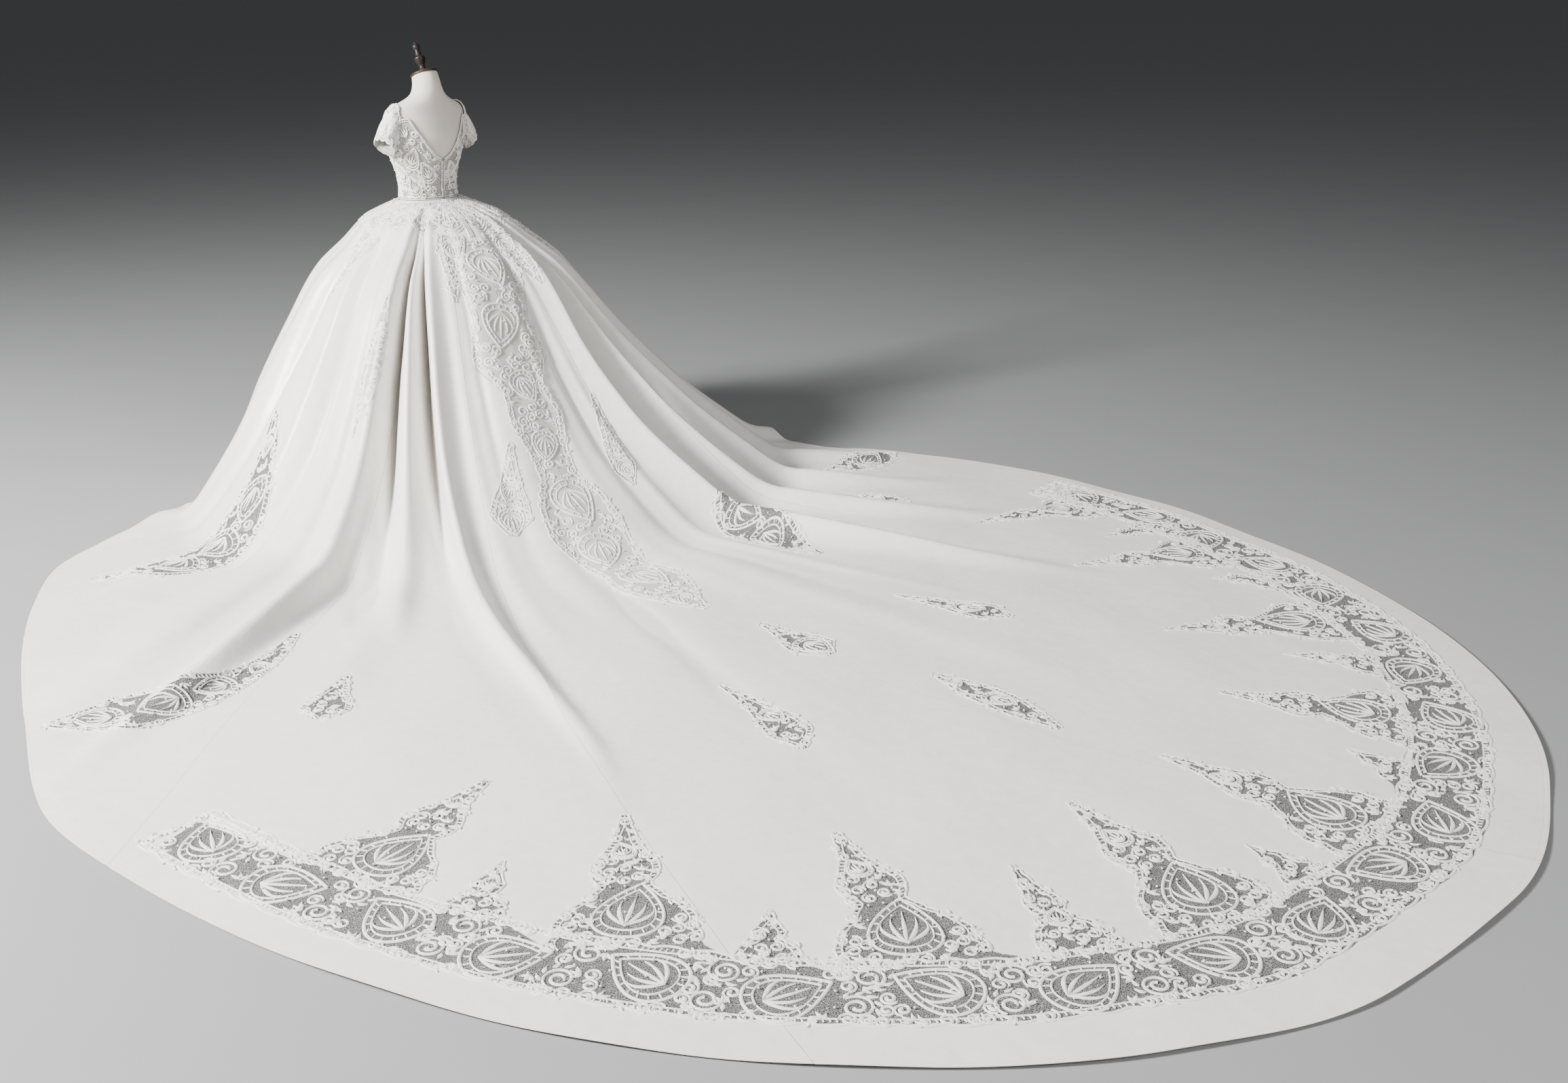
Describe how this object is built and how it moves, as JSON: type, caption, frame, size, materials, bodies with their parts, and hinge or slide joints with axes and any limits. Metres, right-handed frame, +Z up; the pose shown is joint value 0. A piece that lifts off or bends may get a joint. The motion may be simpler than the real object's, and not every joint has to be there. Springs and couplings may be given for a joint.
{
  "type": "wedding dress on dress form",
  "caption": "Ivory satin ball gown with a lace bodice, cap sleeves, open V back and a wide round lace-bordered train, worn by a limbless dress form on a round stand.",
  "frame": {"origin": "on the floor, at the middle of the underside of the stand's round base", "axes": "+Z up; the dress faces -Y and its train lies along +Y; +X is the wearer's left"},
  "size_m": [3.8922, 5.0486, 1.6213],
  "materials": {
    "ivory_satin": "soft ivory bridal satin",
    "lace_on_tulle": "sheer tulle with corded lace",
    "corded_lace": "raised corded and beaded lace",
    "form_cover": "matte cream cover",
    "polished_wood": "glossy red-brown",
    "dark_wood": "glossy near-black"
  },
  "bodies": {
    "root": {"bodice_back_left": "corded_lace", "bodice_back_right": "corded_lace", "bodice_front": "corded_lace", "bodice_side_back_left": "corded_lace", "bodice_side_back_right": "corded_lace", "bodice_side_front_left": "corded_lace", "bodice_side_front_right": "corded_lace", "border_left": "lace_on_tulle", "border_right": "lace_on_tulle", "form_torso": "form_cover", "hem_band_left": "ivory_satin", "hem_band_right": "ivory_satin", "inset_centre_lower": "lace_on_tulle", "inset_centre_upper": "lace_on_tulle", "inset_drop_left": "lace_on_tulle", "inset_far_drop": "lace_on_tulle", "inset_far_side": "lace_on_tulle", "inset_flap_left": "lace_on_tulle", "inset_left_train": "lace_on_tulle", "inset_right_fold": "lace_on_tulle", "inset_right_train": "lace_on_tulle", "inset_side_left": "lace_on_tulle", "inset_side_right": "lace_on_tulle", "lace_drop_left": "corded_lace", "lace_drop_right": "corded_lace", "lace_front_centre": "corded_lace", "lace_front_left": "corded_lace", "lace_front_right": "corded_lace", "lace_hip_left": "corded_lace", "lace_hip_right": "corded_lace", "lace_pendant_back_left": "corded_lace", "lace_pendant_back_right": "corded_lace", "lace_spine": "corded_lace", "lace_strip_left": "corded_lace", "neck_cap": "polished_wood", "neck_finial": "dark_wood", "skirt_back_left": "ivory_satin", "skirt_back_right": "ivory_satin", "skirt_front": "ivory_satin", "skirt_mid_back_left": "ivory_satin", "skirt_mid_back_right": "ivory_satin", "skirt_side_back_left": "ivory_satin", "skirt_side_back_right": "ivory_satin", "skirt_side_front_left": "ivory_satin", "skirt_side_front_right": "ivory_satin", "sleeve_left": "corded_lace", "sleeve_right": "corded_lace", "stand_base": "dark_wood", "stand_pole": "dark_wood", "yoke_back": "corded_lace", "yoke_front": "corded_lace", "yoke_left": "corded_lace", "yoke_right": "corded_lace", "zip_placket": "corded_lace"}
  },
  "joints": []
}
